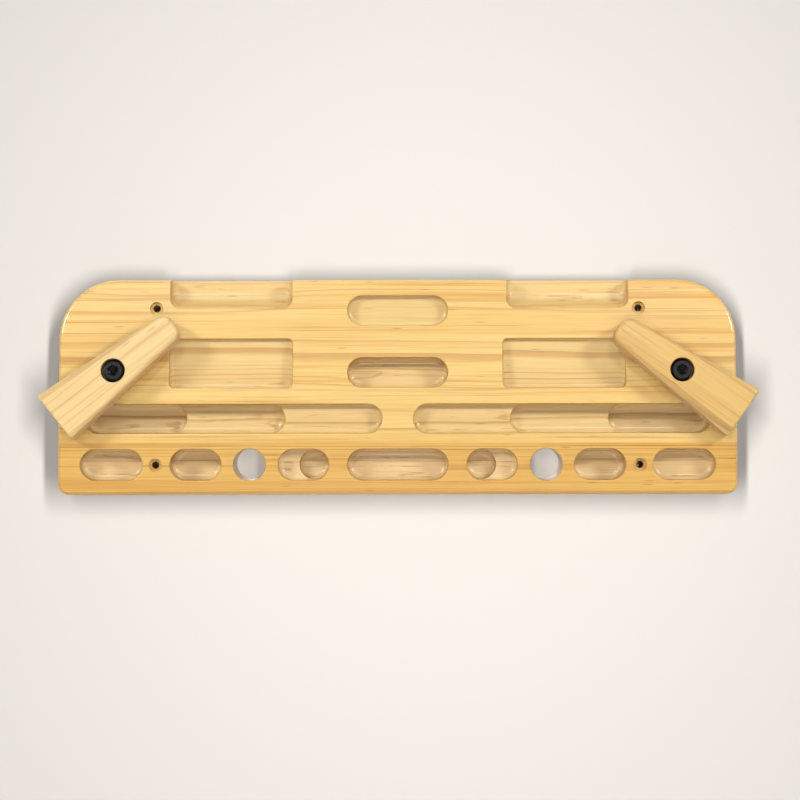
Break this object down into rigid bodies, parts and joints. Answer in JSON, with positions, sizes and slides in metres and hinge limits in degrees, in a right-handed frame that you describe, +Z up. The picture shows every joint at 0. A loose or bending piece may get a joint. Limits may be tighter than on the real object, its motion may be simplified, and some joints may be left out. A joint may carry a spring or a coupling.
{
  "type": "climbing finger board",
  "caption": "Wall-hung wooden finger board with stepped slots, round-ended finger pockets, top-edge scoops and tapered pinch arms that turn on sunk bolts.",
  "frame": {"origin": "on the wall plane at the back of the board, at the centre of the four wall-screw holes", "axes": "+X along the board to the right as seen from the front, -Y out of the wall towards the climber, +Z up"},
  "size_m": [0.6731, 0.0846, 0.203],
  "materials": {
    "board_pine": "clear satin lacquer on pine",
    "arm_pine": "clear satin lacquer on pine",
    "black_steel": "black oxide",
    "zinc_steel": "bright zinc plate",
    "fibre": "hard vulcanised fibre"
  },
  "bodies": {
    "board": {"stave_low": "board_pine", "stave_slots": "board_pine", "stave_middle": "board_pine", "stave_top": "board_pine", "left_bolt": "black_steel", "left_head_washer": "black_steel", "left_spacer": "fibre", "left_tee_nut": "zinc_steel", "right_bolt": "black_steel", "right_head_washer": "black_steel", "right_spacer": "fibre", "right_tee_nut": "zinc_steel"},
    "left_arm": {"left_arm": "arm_pine"},
    "right_arm": {"right_arm": "arm_pine"}
  },
  "joints": [
    {"name": "left_arm_turn", "type": "hinge", "parent": "board", "child": "left_arm", "pos_m": [-0.2657, -0.05001, 0.0118], "axis": [0, -0.9925, 0.1219], "continuous": true},
    {"name": "right_arm_turn", "type": "hinge", "parent": "board", "child": "right_arm", "pos_m": [0.2657, -0.05001, 0.0118], "axis": [0, -0.9925, 0.1219], "continuous": true}
  ]
}
